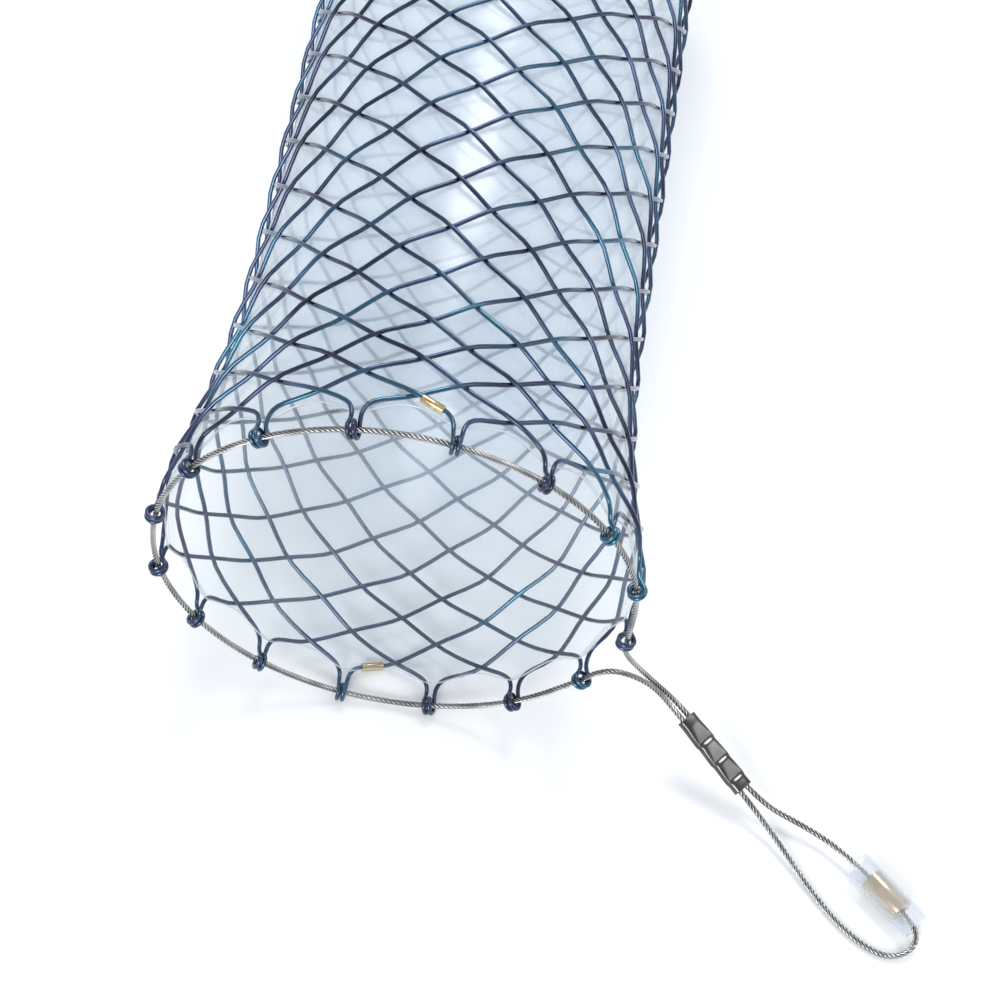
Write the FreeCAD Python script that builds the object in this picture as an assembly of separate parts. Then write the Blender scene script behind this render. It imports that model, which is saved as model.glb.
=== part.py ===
import FreeCAD, Part
import math
import os

from FreeCAD import Matrix, Vector

# A covered, self-expanding esophageal stent that lies on its side, in millimetres.
# The axis runs along Y, the flared mouth with the eyelets faces -Y, and +Z is up.
# A station is the distance from the plane of the eyelets along the axis.

# Driving dimensions of the braid
body_diameter = 20.0
mouth_diameter = 23.6
cell_count = 16
half_rows = 37
first_row = 2.17
flare_pitch = 1.22
flare_steps = 4
body_pitch = 1.52
flare_length = 15.5
apex_rise = 1.1
wire_diameter = 0.22
crossing_clearance = 0.08

# Driving dimensions of an eyelet and its legs
eyelet_outer_diameter = 0.97
eyelet_turns = 1.5
eyelet_corners = 6
coil_clearance = 0.045
leg_rise = 1.15
leg_spread = 0.25
shoulder_rise = 1.6
shoulder_spread = 0.66
apex_shoulder = 0.65

# Driving dimensions of the silicone cover
cover_wall = 0.12
cover_gap = 0.02
cover_edge = 1.1
cover_back_edge = 0.8
cover_sides = 2 * cell_count
lumen_step = 0.005
scallop_width = 4.6
scallop_flat = 1.6
scallop_depth = 0.55

# Driving dimensions of the retrieval cable and of what is on it
cable_diameter = 0.30
crimp_length = 4.4
crimp_wall = 0.12
crimp_chamfer = 0.16
channel_clearance = 0.03
channel_web = 0.05
channel_sides = 10
dent_depth = 0.08
dent_count = 3
dent_end = 0.5
end_depth = 1.1
cable_sides = 6
band_diameter = 1.25
band_bore = 0.5
band_length = 2.15
clear_sleeve_length = 4.15
clear_sleeve_wall = 0.09
clear_sleeve_gap = 0.015
sleeve_sides = 12
marker_sides = 8

# Driving dimensions of the marker tubes on the legs
marker_length = 1.1
marker_diameter = 0.42
marker_gap = 0.015
marker_eyelets = (2, 10)
marker_from_shoulder = 0.12

# What follows from the driving dimensions
half_cell = math.pi / cell_count
wire_side = wire_diameter * math.sqrt(math.pi) / 2
crossing_offset = (wire_side + crossing_clearance) / 2
coil_radius = (eyelet_outer_diameter - wire_diameter) / 2
coil_pitch = wire_side + coil_clearance
coil_width = eyelet_turns * coil_pitch
body_radius = body_diameter / 2 - crossing_offset - wire_side / 2
coil_corner = coil_radius + wire_side / 2 / math.cos(math.pi / eyelet_corners)
eyelet_radius = mouth_diameter / 2 - coil_corner
first_eyelet = math.pi / 2 + 1.5 * 2 * half_cell
axis_height = mouth_diameter / 2 * math.cos(half_cell) + (coil_width + wire_side) / 2 * math.sin(half_cell)
apex_radius = axis_height - wire_side / 2
body_steps = half_rows - 2 - 2 * flare_steps
last_row = first_row + 2 * flare_steps * flare_pitch + body_steps * body_pitch
apex_station = last_row + apex_rise
front_reach = coil_radius * math.cos(math.pi / eyelet_corners) + wire_side / 2
back_reach = apex_station + wire_side / 2
mouth_y = -(back_reach - front_reach) / 2
cable_radius = cable_diameter / 2
clear_sleeve_bore = band_diameter + 2 * clear_sleeve_gap
clear_sleeve_diameter = clear_sleeve_bore + 2 * clear_sleeve_wall
band_height = clear_sleeve_diameter / 2
channel_bore = cable_diameter + 2 * channel_clearance
channel_offset = (channel_bore + channel_web) / 2
crimp_width = 2 * channel_offset + channel_bore + 2 * crimp_wall
crimp_thickness = channel_bore + 2 * crimp_wall


# The shape of the braid

def row_station(row):
    """The station of a row of crossings, with row 1 next to the eyelets."""
    if row == half_rows:
        return apex_station
    near = min(row - 1, flare_steps)
    far = max(row - 1 - flare_steps - body_steps, 0)
    middle = row - 1 - near - far
    return first_row + (near + far) * flare_pitch + middle * body_pitch


def flare(station, start, end, radius):
    """The braid's mean radius on a flare that opens from the body, at end, to radius at start."""
    share = (end - station) / (end - start)
    return body_radius + (radius - body_radius) * min(max(share, 0.0), 1.0) ** 2


def braid_radius(station):
    """The mean radius of the two layers of wire at a station."""
    front = flare(station, first_row, flare_length, eyelet_radius)
    back = flare(-station, -apex_station, flare_length - apex_station, apex_radius)
    return max(front, back)


def around(angle, station, radius):
    """The point at an angle about the axis, counted from +X towards +Z."""
    return Vector(radius * math.cos(angle), mouth_y + station, axis_height + radius * math.sin(angle))


def outward(angle):
    return Vector(math.cos(angle), 0, math.sin(angle))


# The path of the wire, as points with the direction that its outer face looks in

def crossing_point(side, row, eyelet=0):
    """A strand's crossing in a row; side is 1 where its angle grows and -1 where it falls."""
    lift = crossing_offset if row % 2 else -crossing_offset
    station = row_station(row)
    angle = (2 * eyelet + side * row) * half_cell
    return around(angle, station, braid_radius(station) + side * lift), outward(angle)


def crossing_points(side):
    return [crossing_point(side, row) for row in range(1, half_rows)]


def apex_point(side, across):
    """A shoulder of a far apex: -1 for the one on the strand's own side, 1 for the one across."""
    angle = side * (half_rows * half_cell + across * apex_shoulder / apex_radius)
    return around(angle, apex_station, apex_radius), outward(angle)


def leg_points(side):
    """The leg between an eyelet and row 1: it leaves along the axis and bends at a shoulder."""
    points = []
    for rise, spread in ((leg_rise, leg_spread), (shoulder_rise, shoulder_spread)):
        angle = side * spread / eyelet_radius
        points.append((around(angle, rise, eyelet_radius), outward(angle)))
    return points


def coil_points():
    """The eyelet: turns about the rim's own direction, from its inner side to its outer side."""
    points = []
    steps = round(eyelet_turns * eyelet_corners)
    for step in range(steps + 1):
        turn = 2 * math.pi * step / eyelet_corners
        slide = (step / steps - 0.5) * coil_width
        centre = Vector(eyelet_radius, mouth_y, axis_height + slide)
        spoke = Vector(-math.cos(turn), -math.sin(turn), 0)
        points.append((centre + spoke * coil_radius, spoke))
    return points


def pass_points():
    """One pass of the wire, down from a far apex, round an eyelet at angle 0 and over the next apex.

    The first and the last point belong to the passes before and after it.
    """
    falling = [apex_point(-1, 1), apex_point(-1, -1)] + crossing_points(-1)[::-1] + leg_points(-1)[::-1]
    falling = [(point, face * -1) for point, face in falling]
    rising = leg_points(1) + crossing_points(1) + [apex_point(1, -1), apex_point(1, 1)]
    return falling + coil_points() + rising + [crossing_point(-1, half_rows - 1, half_rows)]


def mitred(point, before, after, corners):
    """An outline stretched in the plane of the turn, so that it is the joint of two equal rods."""
    along = (before + after).normalize()
    axis = before.cross(after)
    half_turn = before.getAngle(after) / 2
    widen = Vector(0, 0, 0)
    if axis.Length > 1e-6:
        widen = along.cross(axis).normalize()
    points = []
    for corner in corners:
        points.append(point + corner + widen * (corner.dot(widen) * (1 / math.cos(half_turn) - 1)))
    return Part.makePolygon(points + points[:1])


def mitred_square(point, before, after, face):
    """A square section of the wire whose side looks in the direction of face."""
    along = (before + after).normalize()
    face = (face - along * face.dot(along)).normalize() * (wire_side / 2)
    across = along.cross(face)
    return mitred(point, before, after, [face + across, face - across, -face - across, across - face])


def mitred_ring(point, before, after):
    """A regular section of the cable, level with the floor."""
    along = (before + after).normalize()
    side = along.cross(Vector(0, 0, 1)).normalize() * cable_radius
    up = side.cross(along)
    corners = []
    for n in range(cable_sides):
        turn = 2 * math.pi * n / cable_sides
        corners.append(side * math.cos(turn) + up * math.sin(turn))
    return mitred(point, before, after, corners)


def wire_pass():
    """The solid of one pass, which meets its neighbours face to face at two far apexes."""
    points, faces = zip(*pass_points())
    runs = [(b - a).normalize() for a, b in zip(points, points[1:])]
    sections = [mitred_square(*values) for values in zip(points[1:], runs, runs[1:], faces[1:])]
    return Part.makeLoft(sections, True, True)


def turned(shape, angle):
    """A copy turned about the stent's axis, from +X towards +Z."""
    copy = shape.copy()
    copy.rotate(Vector(0, 0, axis_height), Vector(0, -1, 0), math.degrees(angle))
    return copy


def eyelet_angle(index):
    """The angle of an eyelet, counted clockwise as seen from the mouth."""
    return first_eyelet - index * 2 * half_cell


def braid_wire():
    one = wire_pass()
    return Part.makeCompound([turned(one, eyelet_angle(index)) for index in range(cell_count)])


# The silicone cover inside the braid

def cover_stations():
    """Each station where the cover's slope changes, with its radius on the braid's mean surface.

    The slopes are tangents of the flares, so that the flat bands stay inside the braid.
    """
    last = apex_station - cover_back_edge
    stations = []
    for edge, end, start, radius in ((cover_edge, flare_length, first_row, eyelet_radius),
                                     (last, apex_station - flare_length, apex_station, apex_radius)):
        fifth = (end - edge) / 5
        rise = (radius - body_radius) / (end - start) ** 2 * fifth ** 2
        stations.append((edge, min(radius, body_radius + 24 * rise)))
        stations.append((end - 3 * fifth, body_radius + 8 * rise))
        stations.append((end - fifth, body_radius))
    return sorted(stations)


def cover_shell(thickness, stations):
    """A closed solid of flat bands, with a corner at each column of crossings."""
    inset = crossing_offset + wire_side / 2 + cover_gap + thickness
    rings = []
    for station, radius in stations:
        rings.append([around(n * half_cell, station, radius - inset) for n in range(cover_sides + 1)])
    faces = [Part.Face(Part.makePolygon(ring)) for ring in (rings[0], rings[-1])]
    for low, high in zip(rings, rings[1:]):
        for n in range(cover_sides):
            corners = [low[n], low[n + 1], high[n + 1], high[n], low[n]]
            faces.append(Part.Face(Part.makePolygon(corners)))
    return Part.Solid(Part.makeShell(faces))


def scallop():
    """The cut in the cover's edge between the legs of two eyelets, centred on angle 0."""
    outline = [(-scallop_width / 2, 0), (-scallop_flat / 2, scallop_depth),
               (scallop_flat / 2, scallop_depth), (scallop_width / 2, 0)]
    low = -cover_edge
    outline = [(-scallop_width / 2, low)] + outline + [(scallop_width / 2, low)]
    corners = [Vector(0, mouth_y + cover_edge + rise, axis_height + x) for x, rise in outline]
    face = Part.Face(Part.makePolygon(corners + corners[:1]))
    return face.extrude(Vector(mouth_diameter, 0, 0))


def straight_lumen(start, end):
    """The round lumen of the straight body, just inside the flat bands of the flares it runs into."""
    corner = body_radius - crossing_offset - wire_side / 2 - cover_gap - cover_wall
    radius = corner * math.cos(math.pi / cover_sides) - lumen_step
    foot = Vector(0, mouth_y + start - cover_wall, axis_height)
    return Part.makeCylinder(radius, end - start + 2 * cover_wall, foot, Vector(0, 1, 0))


def silicone_cover():
    stations = cover_stations()
    front, back = stations[:3], stations[3:]
    cover = cover_shell(0, stations)
    for hollow in (cover_shell(cover_wall, front), cover_shell(cover_wall, back),
                   straight_lumen(front[-1][0], back[0][0])):
        cover = cover.cut(hollow)
    cuts = [turned(scallop(), eyelet_angle(n) - half_cell) for n in range(cell_count)]
    return cover.cut(Part.makeCompound(cuts))


def ring_outline(centre, axis, radius, sides):
    """A regular outline at right angles to an axis."""
    side = axis.cross(Vector(0, 0, 1)).normalize()
    up = side.cross(axis).normalize()
    corners = []
    for n in range(sides):
        turn = 2 * math.pi * n / sides
        corners.append(centre + side * (radius * math.cos(turn)) + up * (radius * math.sin(turn)))
    return Part.makePolygon(corners + corners[:1])


# The marker tubes on the legs of two eyelets

def tube(start, end, diameter, bore, sides):
    axis = end - start
    outer = Part.Face(ring_outline(start, axis, diameter / 2, sides)).extrude(axis)
    return outer.cut(Part.Face(ring_outline(start, axis, bore / 2, sides)).extrude(axis))


def marker_tube(index):
    """A short tube threaded on the straight part of an eyelet's rising leg."""
    shoulder = leg_points(1)[-1][0]
    crossing = crossing_points(1)[0][0]
    along = (crossing - shoulder).normalize()
    start = shoulder + along * marker_from_shoulder
    bore = (wire_side * math.sqrt(2) + 2 * marker_gap) / math.cos(math.pi / marker_sides)
    one = tube(start, start + along * marker_length, marker_diameter, bore, marker_sides)
    return turned(one, eyelet_angle(index))


# The retrieval cable: chosen points, each from the floor below the middle of the mouth

crimp_top = Vector(14.80, 0.25, 2.90)
crimp_foot = Vector(18.05, -2.18, 1.30)
lead_from_first_eyelet = [(11.15, 0.08, 8.20), (11.95, 0.38, 6.65), (12.95, 0.72, 4.95)]
lead_from_last_eyelet = [(9.96, 0.0, 6.12), (10.85, 0.03, 6.62), (11.95, 0.15, 6.15), (13.00, 0.42, 4.95)]
lower_leg = [(20.30, -4.60, 0.45), (21.80, -6.45, 0.20), (23.20, -7.95, 0.17), (24.60, -9.00, 0.17),
             (25.85, -9.42, 0.20), (26.78, -9.08, 0.36), (27.15, -8.32, 0.58)]
band_middle = (25.48, -6.42)
band_heading = (0.735, -0.678)
band_reach = 1.6
upper_leg = [(22.65, -4.02, 0.60), (21.05, -3.30, 0.66)]
above_crimp = 0.7
below_crimp = 1.0
lead_lift = 0.03
arc_share = 0.45
arc_chord = math.radians(13)
cable_first_eyelet = 6


def placed(point):
    return Vector(*point) + Vector(0, mouth_y, 0)


def crimp_axis():
    top = placed(crimp_top)
    return top, (placed(crimp_foot) - top).normalize()


def crimp_side():
    """The direction from the upper channel to the lower one, level with the floor."""
    along = crimp_axis()[1]
    return along.cross(Vector(0, 0, 1)).normalize()


def channel_point(side, distance):
    """A point of a channel's centre line; side is -1 or 1 and distance is from the top end."""
    top, along = crimp_axis()
    return top + crimp_side() * (side * channel_offset) + along * distance


def ring_points():
    """The points on the way round through all eyelets, lifted so that the arcs run through them."""
    run = 2 * eyelet_radius * math.sin(half_cell)
    lift = arc_share * run * math.tan(half_cell / 2)
    points = []
    for step in range(cell_count):
        own_lift = lead_lift if step in (0, cell_count - 1) else lift
        points.append(around(eyelet_angle(cable_first_eyelet - step), 0, eyelet_radius + own_lift))
    return points


def on_band(length):
    """The two ends of a length that is centred on the marker band, the far one first."""
    along = Vector(*band_heading, 0).normalize()
    middle = placed((*band_middle, band_height))
    return middle + along * (length / 2), middle - along * (length / 2)


def cable_route():
    """The whole cable: its two ends face each other inside the upper channel of the crimp."""
    foot = crimp_length + below_crimp
    route = [channel_point(-1, end_depth), channel_point(-1, -above_crimp)]
    route += [placed(p) for p in lead_from_first_eyelet[::-1]]
    route += ring_points()
    route += [placed(p) for p in lead_from_last_eyelet]
    route += [channel_point(1, -above_crimp), channel_point(1, foot)]
    route += [placed(p) for p in lower_leg]
    route += on_band(2 * band_reach)
    route += [placed(p) for p in upper_leg]
    route += [channel_point(-1, foot), channel_point(-1, crimp_length - end_depth)]
    return route


def rounded(points):
    """Straight runs joined by tangent arcs, each as large as its two runs allow."""
    edges = []
    start = points[0]
    radii = []
    for before, corner, after in zip(points, points[1:], points[2:]):
        to_start = (before - corner).normalize()
        to_end = (after - corner).normalize()
        run = min((before - corner).Length, (after - corner).Length)
        half_turn = (math.pi - to_start.getAngle(to_end)) / 2
        reach = arc_share * run
        radius = reach / math.tan(half_turn)
        middle = (to_start + to_end).normalize() * (radius / math.cos(half_turn) - radius)
        arc_start = corner + to_start * reach
        arc_end = corner + to_end * reach
        edges.append(Part.LineSegment(start, arc_start).toShape())
        edges.append(Part.Arc(arc_start, corner + middle, arc_end).toShape())
        start = arc_end
        radii.append((round(radius, 2), round(math.degrees(2 * half_turn))))
    edges.append(Part.LineSegment(start, points[-1]).toShape())
    print("cable arcs, radius and turn:", radii)
    return Part.Wire(edges)




def path_corners(path):
    """The corners of a chain of chords along the path, a few to each arc."""
    corners = [path.Edges[0].Vertexes[0].Point]
    for edge in path.Edges:
        chords = 1
        if isinstance(edge.Curve, Part.Circle):
            chords = math.ceil(edge.Length / edge.Curve.Radius / arc_chord - 0.5) or 1
        corners += edge.discretize(chords + 1)[1:]
    return corners


def retrieval_cable():
    path = rounded(cable_route())
    points = path_corners(path)
    sections = []
    for before, point, after in zip([None] + points, points, points[1:] + [None]):
        runs = [(b - a).normalize() for a, b in ((before, point), (point, after)) if a and b]
        sections.append(mitred_ring(point, runs[0], runs[-1]))
    solid = Part.makeLoft(sections, True, True)
    area = cable_sides / 2 * math.sin(2 * math.pi / cable_sides) * cable_radius ** 2
    print("cable length", round(path.Length, 2), "volume", round(solid.Volume, 4),
          "section times length", round(area * path.Length, 4))
    return solid


def crimp_frame():
    """The crimp's own axes: X across its two channels, Y along it and Z through its thickness."""
    top, along = crimp_axis()
    side = crimp_side()
    up = side.cross(along)
    return Matrix(side.x, along.x, up.x, top.x, side.y, along.y, up.y, top.y,
                  side.z, along.z, up.z, top.z, 0, 0, 0, 1)


def crimp_dents():
    """Ramps that end in a step, pressed into both flat faces one after the other."""
    pitch = (crimp_length - 2 * dent_end) / dent_count
    face = crimp_thickness / 2
    cuts = []
    for n in range(dent_count):
        start = dent_end + n * pitch
        for z in (1, -1):
            corners = [Vector(-crimp_width, start, z * face),
                       Vector(-crimp_width, start + pitch, z * face),
                       Vector(-crimp_width, start + pitch - dent_depth, z * (face - dent_depth))]
            wedge = Part.Face(Part.makePolygon(corners + corners[:1]))
            cuts.append(wedge.extrude(Vector(2 * crimp_width, 0, 0)))
    return Part.makeCompound(cuts)


def crimp_sleeve():
    """A flattened double barrel that grips the cable's four ends, with stepped dents."""
    x, z, c = crimp_width / 2, crimp_thickness / 2, crimp_chamfer
    corners = [(x, z - c), (x - c, z), (c - x, z), (-x, z - c),
               (-x, c - z), (c - x, -z), (x - c, -z), (x, c - z), (x, z - c)]
    outline = Part.makePolygon([Vector(px, 0, pz) for px, pz in corners])
    body = Part.Face(outline).extrude(Vector(0, crimp_length, 0))
    for side in (-1, 1):
        start = Vector(side * channel_offset, 0, 0)
        channel = ring_outline(start, Vector(0, 1, 0), channel_bore / 2, channel_sides)
        body = body.cut(Part.Face(channel).extrude(Vector(0, crimp_length, 0)))
    body = body.cut(crimp_dents())
    body.Placement = FreeCAD.Placement(crimp_frame())
    return body


def loop_marker_band():
    return tube(*on_band(band_length), band_diameter, band_bore, sleeve_sides)


def loop_clear_sleeve():
    return tube(*on_band(clear_sleeve_length), clear_sleeve_diameter, clear_sleeve_bore, sleeve_sides)


def main():
    nodes = {
        "braid_wire": braid_wire(),
        "silicone_cover": silicone_cover(),
        "rim_marker_tube_upper": marker_tube(marker_eyelets[0]),
        "rim_marker_tube_lower": marker_tube(marker_eyelets[1]),
        "retrieval_cable": retrieval_cable(),
        "crimp_sleeve": crimp_sleeve(),
        "loop_marker_band": loop_marker_band(),
        "loop_clear_sleeve": loop_clear_sleeve(),
    }
    os.makedirs("parts", exist_ok=True)
    for name, shape in nodes.items():
        shape.exportStep(f"parts/{name}.step")
        print(name, len(shape.Solids), shape.isValid(), round(shape.Volume, 3))


main()
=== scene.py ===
import math

import bmesh
import bpy
from bpy.props import FloatProperty, FloatVectorProperty, PointerProperty
from mathutils import Matrix, Vector, noise


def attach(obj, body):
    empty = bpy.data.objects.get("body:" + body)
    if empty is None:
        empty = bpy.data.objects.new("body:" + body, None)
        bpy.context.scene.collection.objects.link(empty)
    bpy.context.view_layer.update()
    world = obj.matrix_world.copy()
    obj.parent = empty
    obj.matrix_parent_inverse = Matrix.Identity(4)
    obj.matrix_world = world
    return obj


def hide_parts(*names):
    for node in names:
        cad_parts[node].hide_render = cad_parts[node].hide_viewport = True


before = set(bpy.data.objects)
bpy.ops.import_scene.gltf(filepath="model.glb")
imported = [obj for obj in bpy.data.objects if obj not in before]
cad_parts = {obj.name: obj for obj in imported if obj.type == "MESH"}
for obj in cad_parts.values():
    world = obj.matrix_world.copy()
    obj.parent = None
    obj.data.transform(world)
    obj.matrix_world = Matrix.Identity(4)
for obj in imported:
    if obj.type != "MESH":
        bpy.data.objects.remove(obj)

bl_info = {
    "name": "Esophageal Stent",
    "version": (1, 0, 0),
    "blender": (4, 5, 0),
    "location": "3D View > Sidebar > Stent",
    "description": "Dresses a braided, covered stent that lies on its side with its retrieval loop",
    "category": "Object",
}

MM = 0.001
BODY = "root"

# The braid's layout, in millimetres, as the part has it
CELLS = 16
HALF_ROWS = 37
FIRST_ROW = 2.17
FLARE_PITCH = 1.22
FLARE_STEPS = 4
BODY_PITCH = 1.52
FLARE_LENGTH = 15.5
APEX_RISE = 1.1
HALF_CELL = math.pi / CELLS
BODY_STEPS = HALF_ROWS - 2 - 2 * FLARE_STEPS
APEX_STATION = FIRST_ROW + 2 * FLARE_STEPS * FLARE_PITCH + BODY_STEPS * BODY_PITCH + APEX_RISE
BODY_RADIUS = 9.765
EYELET_RADIUS = 11.312
AXIS_HEIGHT = 11.627
APEX_RADIUS = 11.53
MOUTH_Y = -26.873
FIRST_EYELET = math.radians(123.75)

# The eyelets' coils and the legs' points, as rise over the eyelets' plane and spread to the side
COIL_RADIUS = 0.405
COIL_TURNS = 1.5
COIL_WIDTH = 0.40
COIL_STEPS = 8
LEG = ((0.55, 0.20), (1.15, 0.24), (1.66, 0.60))

# The film: its wall, its depth under the wires' middle surface, its edges, and where it turns milky along Y
FILM_WALL = 0.08
FILM_DEPTH = 0.20
RIM_DEPTH = 0.22
RIM_RADIUS = 0.045
FILM_EDGE = 1.12
SCALLOP_DEPTH = 0.62
FILM_END = APEX_STATION - 0.8
FILM_COLUMNS = CELLS * 12
FILM_ROWS = 120
CLEAR_UP_TO = -21.0
MILKY_FROM = -10.0

# The cable's strands, laid about a thin near-black core that is painted shade for the grooves between them
STRAND_COUNT = 5
STRAND_RADIUS = 0.046
STRAND_RING = 0.101
SHADE_CORE_RADIUS = 0.072
STRAND_STEPS = 12

# The marker tubes on the legs, and the middle height of the band on the loop
MARKER_LENGTH = 1.1
BAND_HEIGHT = 0.73

# The cable's route, in millimetres; the leads and the loop are measured from the mouth's plane
CRIMP_TOP = Vector((14.80, 0.25, 2.90))
CRIMP_FOOT = Vector((18.05, -2.18, 1.30))
CRIMP_LENGTH = 4.4
CHANNEL_OFFSET = 0.205
LEAD_FROM_FIRST = [(12.95, 0.72, 4.95), (11.95, 0.38, 6.65), (11.15, 0.08, 8.20)]
LEAD_FROM_LAST = [(9.96, 0.0, 6.12), (10.85, 0.03, 6.62), (11.95, 0.15, 6.15), (13.00, 0.42, 4.95)]
LOWER_LEG = [(20.30, -4.60, 0.45), (21.80, -6.45, 0.20), (23.20, -7.95, 0.17), (24.60, -9.00, 0.17),
             (25.85, -9.42, 0.20), (26.78, -9.08, 0.36), (27.15, -8.32, 0.58)]
BAND_MIDDLE = Vector((25.48, -6.42, BAND_HEIGHT))
BAND_ALONG = Vector((0.735, -0.678, 0.0))
UPPER_LEG = [(22.65, -4.02, 0.60), (21.05, -3.30, 0.66)]


# The shape of the braid

def row_station(row):
    """The distance of a row of crossings from the plane of the eyelets; rows between are mixed."""
    near = min(max(row - 1, 0), FLARE_STEPS)
    far = max(row - 1 - FLARE_STEPS - BODY_STEPS, 0)
    middle = max(row - 1 - near - far, 0)
    return FIRST_ROW + min(row - 1, 0) * FLARE_PITCH + (near + far) * FLARE_PITCH + middle * BODY_PITCH


def flare(station, start, end, radius):
    share = (end - station) / (end - start)
    return BODY_RADIUS + (radius - BODY_RADIUS) * min(max(share, 0.0), 1.0) ** 2


def braid_radius(station):
    front = flare(station, FIRST_ROW, FLARE_LENGTH, EYELET_RADIUS)
    back = flare(-station, -APEX_STATION, FLARE_LENGTH - APEX_STATION, APEX_RADIUS)
    return max(front, back)


def around(angle, station, radius):
    """The point at an angle about the stent's axis, in metres."""
    return Vector((radius * math.cos(angle), MOUTH_Y + station,
                   AXIS_HEIGHT + radius * math.sin(angle))) * MM


def eyelet_angle(index):
    return FIRST_EYELET - index * 2 * HALF_CELL


def weave_points(side, start, lift, inward, rows):
    """Control points of one strand from an eyelet up; side is 1 where its angle grows."""
    points = []
    for row in rows:
        station = row_station(row)
        over = lift if row % 2 else -lift
        radius = braid_radius(station) + 0.04 + side * over - inward
        points.append(around(start + side * row * HALF_CELL, station, radius))
    return points


def leg_points(side, start):
    """The leg of an eyelet: along the axis first, then round a shoulder."""
    points = []
    for rise, spread in LEG:
        points.append(around(start + side * spread / EYELET_RADIUS, rise, EYELET_RADIUS))
    return points


def coil_points(start):
    """The eyelet: turns of wire about the direction of the rim, from its inner to its outer side."""
    points = []
    steps = round(COIL_TURNS * COIL_STEPS)
    for step in range(steps + 1):
        turn = 2 * math.pi * step / COIL_STEPS
        slide = (step / steps - 0.5) * COIL_WIDTH
        reach = EYELET_RADIUS - COIL_RADIUS * math.cos(turn)
        points.append(around(start + slide / EYELET_RADIUS, -COIL_RADIUS * math.sin(turn), reach))
    return points


def apex_points(side, start):
    middle = start + side * HALF_ROWS * HALF_CELL
    points = []
    for gap, drop in ((1.15, 0.30), (0.45, -0.05)):
        points.append(around(middle - side * gap / APEX_RADIUS, APEX_STATION - drop, APEX_RADIUS + 0.03))
    return points


def whole_wire(lift):
    """Control points of the one long wire: sixteen passes, each down to an eyelet and up again."""
    points = []
    rows = range(1, HALF_ROWS)
    for step in range(CELLS):
        start = FIRST_EYELET + step * 2 * HALF_ROWS * HALF_CELL
        down = leg_points(-1, start)[::-1]
        points += apex_points(-1, start)[::-1]
        points += weave_points(-1, start, lift, 0.0, rows)[::-1]
        points += down
        points += coil_points(start)
        points += leg_points(1, start)
        points += weave_points(1, start, lift, 0.0, rows)
        points += apex_points(1, start)
    return points


def nurbs(curve, points, resolution, cyclic=False):
    """Adds one smooth spline to a curve, led by the points."""
    spline = curve.splines.new("NURBS")
    spline.points.add(len(points) - 1)
    for control, point in zip(spline.points, points):
        control.co = (*point, 1.0)
    spline.order_u = 3
    spline.use_endpoint_u = not cyclic
    spline.use_cyclic_u = cyclic
    spline.resolution_u = resolution
    spline.use_smooth = True


def round_curve(name, radius, bevel):
    curve = bpy.data.curves.new(name, "CURVE")
    curve.dimensions = "3D"
    curve.bevel_depth = radius * MM
    curve.bevel_resolution = bevel
    curve.use_fill_caps = True
    return curve


def curve_mesh(name, curve):
    """The mesh of a curve, as an object of its own."""
    holder = bpy.data.objects.new(name + "_guide", curve)
    bpy.context.scene.collection.objects.link(holder)
    bpy.context.view_layer.update()
    mesh = bpy.data.meshes.new_from_object(holder)
    bpy.data.objects.remove(holder)
    mesh.name = name
    return mesh


def show(name, data, material, node):
    """Links a finished piece, which stands for a node of the part and rides with it."""
    piece = bpy.data.objects.new(name, data)
    data.materials.clear()
    data.materials.append(material)
    bpy.context.scene.collection.objects.link(piece)
    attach(piece, BODY)
    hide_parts(node)
    return piece


def smooth(mesh):
    for polygon in mesh.polygons:
        polygon.use_smooth = True


# Materials

def new_material(name):
    """A material with only an output; returns its tree and the output node."""
    material = bpy.data.materials.new(name)
    material.use_nodes = True
    tree = material.node_tree
    tree.nodes.clear()
    return material, tree, tree.nodes.new("ShaderNodeOutputMaterial")


def principled(tree, **values):
    shader = tree.nodes.new("ShaderNodeBsdfPrincipled")
    for name, value in values.items():
        shader.inputs[name.replace("_", " ")].default_value = value
    return shader


def speckle(tree, scale, stretch=(1.0, 1.0, 1.0)):
    """Fine noise on the object's own coordinates."""
    place = tree.nodes.new("ShaderNodeTexCoord")
    mapping = tree.nodes.new("ShaderNodeMapping")
    mapping.inputs["Scale"].default_value = stretch
    texture = tree.nodes.new("ShaderNodeTexNoise")
    texture.inputs["Scale"].default_value = scale
    texture.inputs["Detail"].default_value = 1.0
    tree.links.new(place.outputs["Object"], mapping.inputs["Vector"])
    tree.links.new(mapping.outputs["Vector"], texture.inputs["Vector"])
    return texture


def ramp(tree, source, stops):
    node = tree.nodes.new("ShaderNodeValToRGB")
    node.color_ramp.elements[0].position = stops[0][0]
    node.color_ramp.elements[0].color = stops[0][1]
    node.color_ramp.elements[1].position = stops[-1][0]
    node.color_ramp.elements[1].color = stops[-1][1]
    for position, color in stops[1:-1]:
        node.color_ramp.elements.new(position).color = color
    tree.links.new(source, node.inputs["Fac"])
    return node


def grey_stops(*levels):
    """Stops of a ramp, from pairs of a position and a grey level."""
    return [(position, (level, level, level, 1.0)) for position, level in levels]


def bump(tree, source, shader, strength, distance):
    node = tree.nodes.new("ShaderNodeBump")
    node.inputs["Strength"].default_value = strength
    node.inputs["Distance"].default_value = distance
    tree.links.new(source, node.inputs["Height"])
    tree.links.new(node.outputs["Normal"], shader.inputs["Normal"])


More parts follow.
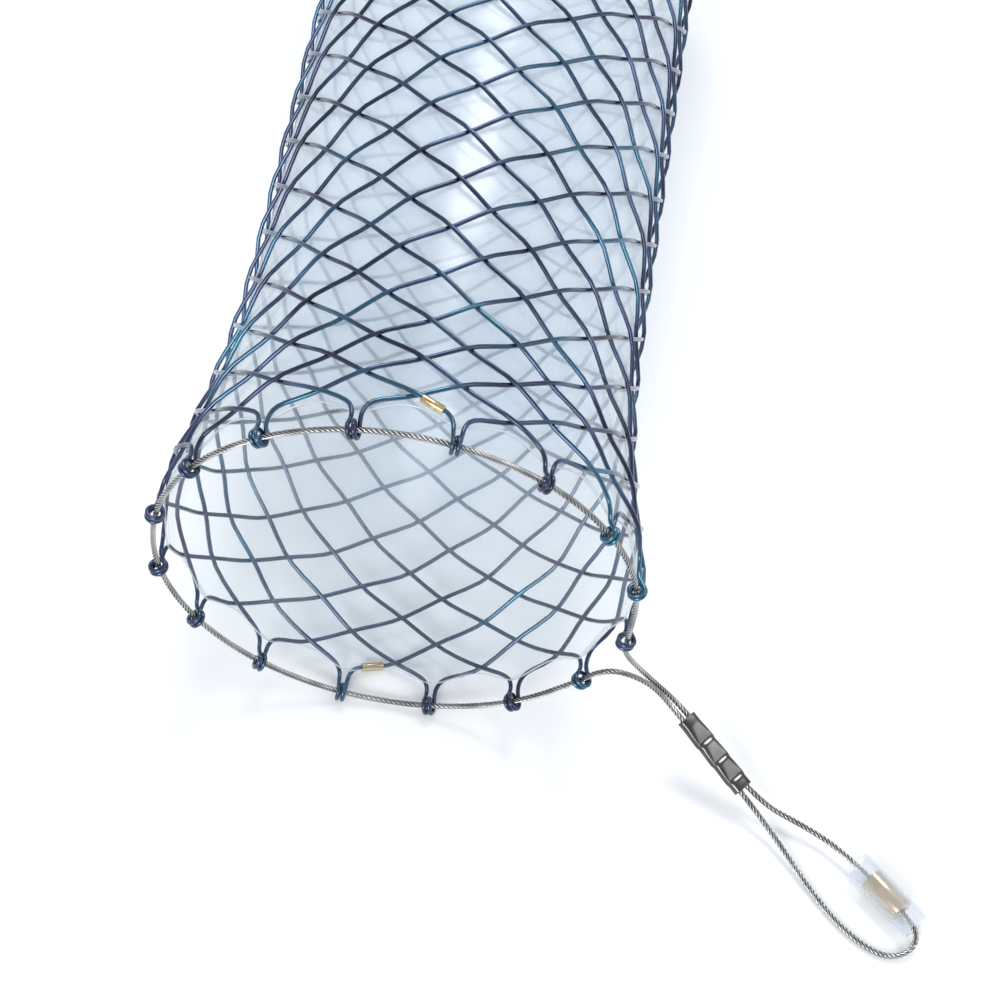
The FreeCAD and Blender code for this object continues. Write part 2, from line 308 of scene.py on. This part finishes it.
def oxide_wire(color, sheen_color):
    """Drawn nickel titanium with a dark oxide that runs from indigo to teal."""
    material, tree, out = new_material("oxide_wire")
    shader = principled(tree, Metallic=1.0, Roughness=0.24)
    shader.inputs["Coat Weight"].default_value = 0.6
    shader.inputs["Coat Roughness"].default_value = 0.12
    patches = speckle(tree, 260.0)
    dark = (color[0] * 0.45, color[1] * 0.45, color[2] * 0.5, 1.0)
    stops = [(0.34, dark), (0.52, (*color, 1.0)), (0.7, (*sheen_color, 1.0))]
    tint = ramp(tree, patches.outputs["Fac"], stops)
    tree.links.new(tint.outputs["Color"], shader.inputs["Base Color"])
    tree.links.new(shader.outputs["BSDF"], out.inputs["Surface"])
    return material


def silicone(name, color, haze, wetness, in_mouth, in_body):
    """Thin milky silicone: it lets light through, scatters a share of it and has a wet gloss.

    The silicone is thinner, and so clearer, in the mouth than in the straight body.
    """
    material, tree, out = new_material(name)
    links = tree.links
    skin = tree.nodes.new("ShaderNodeBsdfDiffuse")
    glow = tree.nodes.new("ShaderNodeBsdfTranslucent")
    gloss = tree.nodes.new("ShaderNodeBsdfGlossy")
    gloss.inputs["Roughness"].default_value = 0.2
    for shader in (skin, glow):
        shader.inputs["Color"].default_value = (*color, 1.0)
    scatter = tree.nodes.new("ShaderNodeMixShader")
    scatter.inputs["Fac"].default_value = 0.5
    links.new(skin.outputs["BSDF"], scatter.inputs[1])
    links.new(glow.outputs["BSDF"], scatter.inputs[2])
    clear = tree.nodes.new("ShaderNodeBsdfTransparent")
    clear.inputs["Color"].default_value = (0.98, 0.992, 1.0, 1.0)
    place = tree.nodes.new("ShaderNodeTexCoord")
    parts = tree.nodes.new("ShaderNodeSeparateXYZ")
    links.new(place.outputs["Object"], parts.inputs["Vector"])
    share = tree.nodes.new("ShaderNodeMapRange")
    share.inputs["From Min"].default_value = CLEAR_UP_TO * MM
    share.inputs["From Max"].default_value = MILKY_FROM * MM
    share.inputs["To Min"].default_value = haze * in_mouth
    share.inputs["To Max"].default_value = haze * in_body
    links.new(parts.outputs["Y"], share.inputs["Value"])
    milk = tree.nodes.new("ShaderNodeMixShader")
    links.new(share.outputs["Result"], milk.inputs["Fac"])
    links.new(clear.outputs["BSDF"], milk.inputs[1])
    links.new(scatter.outputs["Shader"], milk.inputs[2])
    edge = tree.nodes.new("ShaderNodeLayerWeight")
    wet = ramp(tree, edge.outputs["Facing"], grey_stops((0.0, wetness), (0.6, 1.7 * wetness), (1.0, 0.35)))
    mix = tree.nodes.new("ShaderNodeMixShader")
    links.new(wet.outputs["Color"], mix.inputs["Fac"])
    links.new(milk.outputs["Shader"], mix.inputs[1])
    links.new(gloss.outputs["BSDF"], mix.inputs[2])
    links.new(mix.outputs["Shader"], out.inputs["Surface"])
    return material


def drawn_metal(name, color, roughness, scale, stretch, variation=0.25):
    """Bright metal with fine drawing marks along one direction."""
    material, tree, out = new_material(name)
    shader = principled(tree, Metallic=1.0, Roughness=roughness)
    marks = speckle(tree, scale, stretch)
    low = tuple(c * (1 - variation) for c in color) + (1.0,)
    high = tuple(min(c * (1 + variation), 1.0) for c in color) + (1.0,)
    tint = ramp(tree, marks.outputs["Fac"], [(0.3, low), (0.7, high)])
    tree.links.new(tint.outputs["Color"], shader.inputs["Base Color"])
    bump(tree, marks.outputs["Fac"], shader, 0.25, 0.00003)
    tree.links.new(shader.outputs["BSDF"], out.inputs["Surface"])
    return material


def clear_tube():
    """Clear heat-shrink plastic, whitish where it is seen along its wall."""
    material, tree, out = new_material("clear_tube")
    shader = principled(tree, Base_Color=(0.74, 0.80, 0.88, 1.0), Roughness=0.16)
    clear = tree.nodes.new("ShaderNodeBsdfTransparent")
    edge = tree.nodes.new("ShaderNodeLayerWeight")
    edge.inputs["Blend"].default_value = 0.42
    veil = ramp(tree, edge.outputs["Facing"], grey_stops((0.0, 0.10), (0.95, 0.62)))
    mix = tree.nodes.new("ShaderNodeMixShader")
    tree.links.new(veil.outputs["Color"], mix.inputs["Fac"])
    tree.links.new(clear.outputs["BSDF"], mix.inputs[1])
    tree.links.new(shader.outputs["BSDF"], mix.inputs[2])
    tree.links.new(mix.outputs["Shader"], out.inputs["Surface"])
    return material


def pale_floor():
    material, tree, out = new_material("pale_floor")
    shader = principled(tree, Base_Color=(0.93, 0.935, 0.945, 1.0), Roughness=0.85)
    tree.links.new(shader.outputs["BSDF"], out.inputs["Surface"])
    return material


# Settings

class StentSettings(bpy.types.PropertyGroup):
    """Sizes in millimetres and colours that can be changed before the pieces are made."""
    wire_diameter: FloatProperty(name="Wire diameter", description="Gauge of the braid wire, in millimetres",
                                 default=0.22, min=0.1, max=0.4)
    weave_lift: FloatProperty(name="Weave lift", description="Rise of a strand's guide points at a crossing",
                              default=0.25, min=0.2, max=0.4)
    wire_color: FloatVectorProperty(name="Wire colour", description="Main colour of the oxide on the wire",
                                    default=(0.042, 0.062, 0.13), subtype="COLOR", min=0.0, max=1.0)
    wire_sheen: FloatVectorProperty(name="Wire sheen", description="Second colour of the oxide",
                                    default=(0.035, 0.13, 0.20), subtype="COLOR", min=0.0, max=1.0)
    film_color: FloatVectorProperty(name="Film colour", description="Tint of the silicone film",
                                    default=(0.88, 0.94, 1.0), subtype="COLOR", min=0.0, max=1.0)
    film_haze: FloatProperty(name="Film haze", description="Share of the light that the film scatters",
                             default=0.5, min=0.0, max=0.8, subtype="FACTOR")
    film_wrinkle: FloatProperty(name="Film wrinkle", description="Depth of its ripples, in millimetres",
                                default=0.05, min=0.0, max=0.1)
    strand_lay: FloatProperty(name="Strand lay", description="Length of cable in which its strands turn once",
                              default=1.2, min=0.8, max=4.0)
    cable_color: FloatVectorProperty(name="Cable colour", description="Colour of the cable's steel",
                                     default=(0.38, 0.378, 0.37), subtype="COLOR", min=0.0, max=1.0)
    band_color: FloatVectorProperty(name="Marker colour", description="Colour of the marker metal",
                                    default=(0.56, 0.42, 0.22), subtype="COLOR", min=0.0, max=1.0)


def settings():
    return bpy.context.scene.stent_settings


# Pieces

class BraidOperator(bpy.types.Operator):
    """Plaits the one long wire, with its eyelets at the mouth and its apexes at the far end"""
    bl_idname = "stent.braid"
    bl_label = "Braid"

    def execute(self, context):
        own = settings()
        curve = round_curve("braid", own.wire_diameter / 2, 2)
        nurbs(curve, whole_wire(own.weave_lift), 3, cyclic=True)
        mesh = curve_mesh("braid", curve)
        smooth(mesh)
        show("braid", mesh, oxide_wire(own.wire_color, own.wire_sheen), "braid_wire")
        return {"FINISHED"}


def rim_station(angle):
    """The film's edge at the mouth, drawn in between the legs of two eyelets."""
    share = (angle - FIRST_EYELET) / (2 * HALF_CELL)
    arch = 0.5 - 0.5 * math.cos(2 * math.pi * share)
    return FILM_EDGE + SCALLOP_DEPTH * arch ** 0.7


def film_mesh(wrinkle):
    """The film as a grid about the axis: its edge is scalloped and its face has faint ripples."""
    mesh = bpy.data.meshes.new("film")
    work = bmesh.new()
    bmesh.ops.create_grid(work, x_segments=FILM_COLUMNS, y_segments=FILM_ROWS, size=0.5)
    for vertex in work.verts:
        angle = 2 * math.pi * (vertex.co.x + 0.5)
        share = vertex.co.y + 0.5
        edge = rim_station(angle)
        station = edge + (FILM_END - edge) * share
        place = Vector((math.cos(angle) * 2.2, math.sin(angle) * 2.2, station * 0.16))
        ripple = noise.noise(place) + 0.5 * noise.noise(place * 2.7) + 0.3 * noise.noise(place * 5.5)
        radius = braid_radius(station) - FILM_DEPTH + wrinkle * ripple - wrinkle
        if station < FIRST_ROW:
            radius -= 0.02 * (FIRST_ROW - station)
        vertex.co = around(angle, station, radius)
    bmesh.ops.remove_doubles(work, verts=work.verts, dist=1e-7)
    bmesh.ops.recalc_face_normals(work, faces=work.faces)
    bmesh.ops.solidify(work, geom=work.faces[:], thickness=FILM_WALL * MM)
    work.to_mesh(mesh)
    work.free()
    smooth(mesh)
    return mesh


class CoverOperator(bpy.types.Operator):
    """Makes the silicone film and the bead at its two edges"""
    bl_idname = "stent.cover"
    bl_label = "Cover"

    def execute(self, context):
        own = settings()
        film = silicone("silicone_film", own.film_color, own.film_haze, 0.022, 0.06, 0.66)
        show("film", film_mesh(own.film_wrinkle), film, "silicone_cover")
        curve = round_curve("film_rims", RIM_RADIUS, 0)
        angles = [2 * math.pi * step / FILM_COLUMNS for step in range(FILM_COLUMNS)]
        for stations in ([rim_station(angle) for angle in angles], [FILM_END] * len(angles)):
            points = [around(angle, station, braid_radius(station) - RIM_DEPTH)
                      for angle, station in zip(angles, stations)]
            nurbs(curve, points, 1, cyclic=True)
        mesh = curve_mesh("film_rims", curve)
        smooth(mesh)
        bead = silicone("silicone_rims", own.film_color, own.film_haze, 0.07, 0.8, 0.8)
        show("film_rims", mesh, bead, "silicone_cover")
        return {"FINISHED"}


def placed(point):
    return (Vector(point) + Vector((0.0, MOUTH_Y, 0.0))) * MM


def crimp_axis():
    along = (CRIMP_FOOT - CRIMP_TOP).normalized()
    side = along.cross(Vector((0.0, 0.0, 1.0))).normalized()
    return along, side


def channel_point(side, distance):
    along, across = crimp_axis()
    return placed(CRIMP_TOP + across * (side * CHANNEL_OFFSET) + along * distance)


def cable_route():
    """The cable from the crimp up, round through every eyelet, down, round the loop and back."""
    lift = 0.45 * 2 * EYELET_RADIUS * math.sin(HALF_CELL) * math.tan(HALF_CELL / 2)
    route = [channel_point(-1, 1.1), channel_point(-1, -0.7)]
    route += [placed(point) for point in LEAD_FROM_FIRST]
    for step in range(CELLS):
        out = 0.03 if step in (0, CELLS - 1) else lift
        route.append(around(eyelet_angle(6 - step), 0.0, EYELET_RADIUS + out))
    route += [placed(point) for point in LEAD_FROM_LAST]
    route += [channel_point(1, -0.7), channel_point(1, CRIMP_LENGTH + 1.0)]
    route += [placed(point) for point in LOWER_LEG]
    route += [placed(BAND_MIDDLE + BAND_ALONG * reach) for reach in (1.6, -1.6)]
    route += [placed(point) for point in UPPER_LEG]
    route += [channel_point(-1, CRIMP_LENGTH + 1.0), channel_point(-1, CRIMP_LENGTH - 1.1)]
    return route


def even_path(points, gap):
    """Points at even distances along a chain of points."""
    path = [points[0]]
    left = gap
    for start, end in zip(points, points[1:]):
        run = (end - start).length
        at = left
        while at <= run:
            path.append(start.lerp(end, at / run))
            at += gap
        left = at - run
    return path


def cable_path():
    """The points that the smooth route follows, from the curve itself."""
    curve = bpy.data.curves.new("cable_guide", "CURVE")
    curve.dimensions = "3D"
    nurbs(curve, cable_route(), 12)
    mesh = curve_mesh("cable_guide", curve)
    path = [vertex.co.copy() for vertex in mesh.vertices]
    bpy.data.meshes.remove(mesh)
    return path


def strand_curve(path, lay, count, strand_radius, ring_radius):
    """Strands laid about a path, as round splines."""
    curve = round_curve("cable", strand_radius, 1)
    fine = even_path(path, lay * MM / STRAND_STEPS)
    side = (fine[1] - fine[0]).orthogonal().normalized()
    sides = []
    for n, point in enumerate(fine):
        along = (fine[min(n + 1, len(fine) - 1)] - fine[max(n - 1, 0)]).normalized()
        side = (side - along * side.dot(along)).normalized()
        sides.append((side.copy(), along.cross(side)))
    for strand in range(count):
        spline = curve.splines.new("POLY")
        spline.points.add(len(fine) - 1)
        for n, (point, (across, up)) in enumerate(zip(fine, sides)):
            turn = 2 * math.pi * (n / STRAND_STEPS + strand / count)
            place = point + (across * math.cos(turn) + up * math.sin(turn)) * (ring_radius * MM)
            spline.points[n].co = (*place, 1.0)
        spline.use_smooth = True
    return curve


class CableOperator(bpy.types.Operator):
    """Lays the twisted retrieval cable through the eyelets, the crimp and round the loop"""
    bl_idname = "stent.cable"
    bl_label = "Retrieval cable"

    def execute(self, context):
        own = settings()
        path = cable_path()
        strands = strand_curve(path, own.strand_lay, STRAND_COUNT, STRAND_RADIUS, STRAND_RING)
        mesh = curve_mesh("cable", strands)
        smooth(mesh)
        steel = drawn_metal("cable_steel", own.cable_color, 0.22, 900.0, (1.0, 1.0, 1.0), 0.3)
        cable = show("cable", mesh, steel, "retrieval_cable")
        # The near-black core inside the strands is painted shade: it darkens the grooves between the strands,
        # where only shadow falls
        mesh = curve_mesh("cable_shade_core", strand_curve(path, own.strand_lay, 1, SHADE_CORE_RADIUS, 0.0))
        smooth(mesh)
        dark = drawn_metal("painted_shade_core", (0.015, 0.014, 0.013), 0.6, 900.0, (1.0, 1.0, 1.0), 0.3)
        core = show("cable_shade_core", mesh, dark, "retrieval_cable")
        return {"FINISHED"}


def crimp_dent(share):
    """The depth of the crimp's dents at a share of its length."""
    dent = 0.0
    pitch = (1 - 0.22) / 3
    at = (share - 0.11) / pitch
    if 0 <= at < 3:
        step = at % 1.0
        dent = 0.13 * (step / 0.82 if step < 0.82 else (1 - step) / 0.18)
    return dent


def crimp_mesh():
    """The flattened double barrel with its three stepped dents in both faces."""
    mesh = bpy.data.meshes.new("crimp")
    work = bmesh.new()
    bmesh.ops.create_grid(work, x_segments=48, y_segments=72, size=0.5)
    along, side = crimp_axis()
    up = side.cross(along)
    for vertex in work.verts:
        turn = 2 * math.pi * (vertex.co.x + 0.5)
        share = vertex.co.y + 0.5
        dent = crimp_dent(share)
        end = min(share, 1 - share)
        flare_out = 0.03 * max(0.0, 1 - end / 0.05)
        c, s = math.cos(turn), math.sin(turn)
        x = math.copysign(abs(c) ** 0.62, c) * (0.50 + 0.35 * dent + flare_out * 0.4)
        z = math.copysign(abs(s) ** 0.62, s) * (0.30 - dent * max(0.0, 1 - (x / 0.46) ** 2) ** 0.5 * 0.75
                                                + flare_out * 0.3)
        vertex.co = placed(CRIMP_TOP + along * (share * CRIMP_LENGTH) + side * x + up * z)
    bmesh.ops.remove_doubles(work, verts=work.verts, dist=1e-7)
    rims = [edge for edge in work.edges if edge.is_boundary]
    bmesh.ops.holes_fill(work, edges=rims)
    bmesh.ops.recalc_face_normals(work, faces=work.faces)
    work.to_mesh(mesh)
    work.free()
    smooth(mesh)
    return mesh


def turned_tube(name, start, end, profile, steps):
    """A closed profile of (distance from the start, radius) pairs, spun about the line to the end."""
    mesh = bpy.data.meshes.new(name)
    work = bmesh.new()
    along = (end - start).normalized()
    side = along.orthogonal().normalized()
    corners = [work.verts.new(start + along * (at * MM) + side * (radius * MM)) for at, radius in profile]
    edges = [work.edges.new(pair) for pair in zip(corners, corners[1:] + corners[:1])]
    bmesh.ops.spin(work, geom=corners + edges, cent=start, axis=along, steps=steps,
                   angle=2 * math.pi, use_merge=True)
    bmesh.ops.remove_doubles(work, verts=work.verts, dist=1e-7)
    bmesh.ops.recalc_face_normals(work, faces=work.faces)
    work.to_mesh(mesh)
    work.free()
    smooth(mesh)
    return mesh


def rounded_wall(length, outer, inner, edge):
    """The outline of a tube's wall with rounded rims."""
    return [(0, inner + edge), (0, outer - edge), (edge * 0.3, outer - edge * 0.3), (edge, outer),
            (length * 0.5, outer), (length - edge, outer), (length - edge * 0.3, outer - edge * 0.3),
            (length, outer - edge), (length, inner + edge), (length - edge, inner), (edge, inner)]


class LoopOperator(bpy.types.Operator):
    """Makes the crimp, the marker band and the clear sleeve of the retrieval loop"""
    bl_idname = "stent.loop"
    bl_label = "Crimp and loop marker"

    def execute(self, context):
        own = settings()
        steel = drawn_metal("crimp_steel", (0.11, 0.11, 0.108), 0.2, 700.0, (1.0, 1.0, 1.0), 0.3)
        show("crimp", crimp_mesh(), steel, "crimp_sleeve")
        gold = drawn_metal("marker_metal", own.band_color, 0.22, 1200.0, (1.0, 1.0, 6.0), 0.18)
        for name, length, outer, inner, material, node, slot in (
                ("loop_band", 2.15, 0.625, 0.25, gold, "loop_marker_band", "gold"),
                ("loop_sleeve", 4.15, 0.73, 0.64, clear_tube(), "loop_clear_sleeve", "clear")):
            ends = [placed(BAND_MIDDLE + BAND_ALONG * (share * length)) for share in (-0.5, 0.5)]
            mesh = turned_tube(name, *ends, rounded_wall(length, outer, inner, 0.035), 48)
            show(name, mesh, material, node)
        return {"FINISHED"}


class RimMarkerOperator(bpy.types.Operator):
    """Threads the two marker tubes on the legs of opposite eyelets"""
    bl_idname = "stent.rim_markers"
    bl_label = "Rim markers"

    def execute(self, context):
        own = settings()
        gold = drawn_metal("rim_marker_metal", own.band_color, 0.24, 1400.0, (6.0, 1.0, 1.0), 0.2)
        for name, index in (("rim_marker_tube_upper", 2), ("rim_marker_tube_lower", 10)):
            start = eyelet_angle(index)
            shoulder = around(start + 0.66 / EYELET_RADIUS, 1.6, EYELET_RADIUS)
            crossing = around(start + HALF_CELL, FIRST_ROW, EYELET_RADIUS + 0.1375)
            along = (crossing - shoulder).normalized()
            low = shoulder + along * (0.12 * MM)
            high = low + along * (MARKER_LENGTH * MM)
            piece = name.replace("_tube", "")
            mesh = turned_tube(piece, low, high, rounded_wall(MARKER_LENGTH, 0.21, 0.14, 0.02), 32)
            show(piece, mesh, gold, name)
        return {"FINISHED"}


class StageOperator(bpy.types.Operator):
    """Sets the pale floor, the soft lights and the camera"""
    bl_idname = "stent.stage"
    bl_label = "Stage"

    def execute(self, context):
        scene = context.scene
        mesh = bpy.data.meshes.new("floor")
        work = bmesh.new()
        bmesh.ops.create_grid(work, x_segments=1, y_segments=1, size=2.0)
        work.to_mesh(mesh)
        work.free()
        floor = bpy.data.objects.new("floor", mesh)
        mesh.materials.append(pale_floor())
        scene.collection.objects.link(floor)
        add_lights(scene)
        add_camera(scene)
        return {"FINISHED"}


def area_light(scene, name, place, target, size, power, color):
    light = bpy.data.lights.new(name, "AREA")
    light.shape = "DISK"
    light.size = size
    light.energy = power
    light.color = color
    lamp = bpy.data.objects.new(name, light)
    lamp.location = place
    lamp.rotation_euler = (Vector(target) - Vector(place)).to_track_quat("-Z", "Y").to_euler()
    scene.collection.objects.link(lamp)


def add_lights(scene):
    middle = (0.0, 0.0, 0.01)
    area_light(scene, "soft_top", (0.02, 0.28, 0.42), middle, 0.18, 0.9, (1.0, 1.0, 1.0))
    area_light(scene, "soft_front", (-0.1, -0.45, 0.28), middle, 0.25, 1.6, (0.97, 0.99, 1.0))
    area_light(scene, "soft_right", (0.4, 0.0, 0.3), middle, 0.25, 0.35, (1.0, 0.99, 0.97))
    world = bpy.data.worlds.new("studio")
    world.use_nodes = True
    sky = world.node_tree.nodes["Background"]
    sky.inputs["Color"].default_value = (0.93, 0.96, 1.0, 1.0)
    sky.inputs["Strength"].default_value = 0.72
    scene.world = world
    scene.view_settings.view_transform = "Standard"


def add_camera(scene):
    """The photograph's view, fitted to the eyelets, the outline and the crossings."""
    turn, down, roll = (math.radians(angle) for angle in (-1.818, 55.272, 7.563))
    forward = Vector((math.sin(turn) * math.cos(down), math.cos(turn) * math.cos(down), -math.sin(down)))
    level = Vector((math.cos(turn), -math.sin(turn), 0.0))
    upward = level.cross(forward)
    right = level * math.cos(roll) + upward * math.sin(roll)
    up = upward * math.cos(roll) - level * math.sin(roll)
    place = Vector((6.40, MOUTH_Y - 63.44, AXIS_HEIGHT + 99.18)) * MM
    data = bpy.data.cameras.new("camera")
    data.lens = 91.93
    data.sensor_width = 36.0
    data.clip_start = 0.005
    camera = bpy.data.objects.new("camera", data)
    turned = Matrix((right, up, -forward)).transposed().to_4x4()
    camera.matrix_world = Matrix.Translation(place) @ turned
    scene.collection.objects.link(camera)
    scene.camera = camera


class StentPanel(bpy.types.Panel):
    """Lists the stent's sizes, colours and pieces"""
    bl_idname = "VIEW3D_PT_stent"
    bl_label = "Stent"
    bl_space_type = "VIEW_3D"
    bl_region_type = "UI"
    bl_category = "Stent"

    def draw(self, context):
        for name in StentSettings.__annotations__:
            self.layout.prop(context.scene.stent_settings, name)
        for operator in OPERATORS:
            self.layout.operator(operator.bl_idname)


OPERATORS = (BraidOperator, CoverOperator, LoopOperator, RimMarkerOperator, CableOperator, StageOperator)
CLASSES = (StentSettings, *OPERATORS, StentPanel)


def register():
    for cls in CLASSES:
        bpy.utils.register_class(cls)
    bpy.types.Scene.stent_settings = PointerProperty(type=StentSettings)


def unregister():
    del bpy.types.Scene.stent_settings
    for cls in reversed(CLASSES):
        bpy.utils.unregister_class(cls)


def main():
    register()
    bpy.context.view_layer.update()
    bpy.ops.stent.braid()
    bpy.ops.stent.cover()
    bpy.ops.stent.loop()
    bpy.ops.stent.rim_markers()
    bpy.ops.stent.cable()
    bpy.ops.stent.stage()


if __name__ == "__main__":
    main()
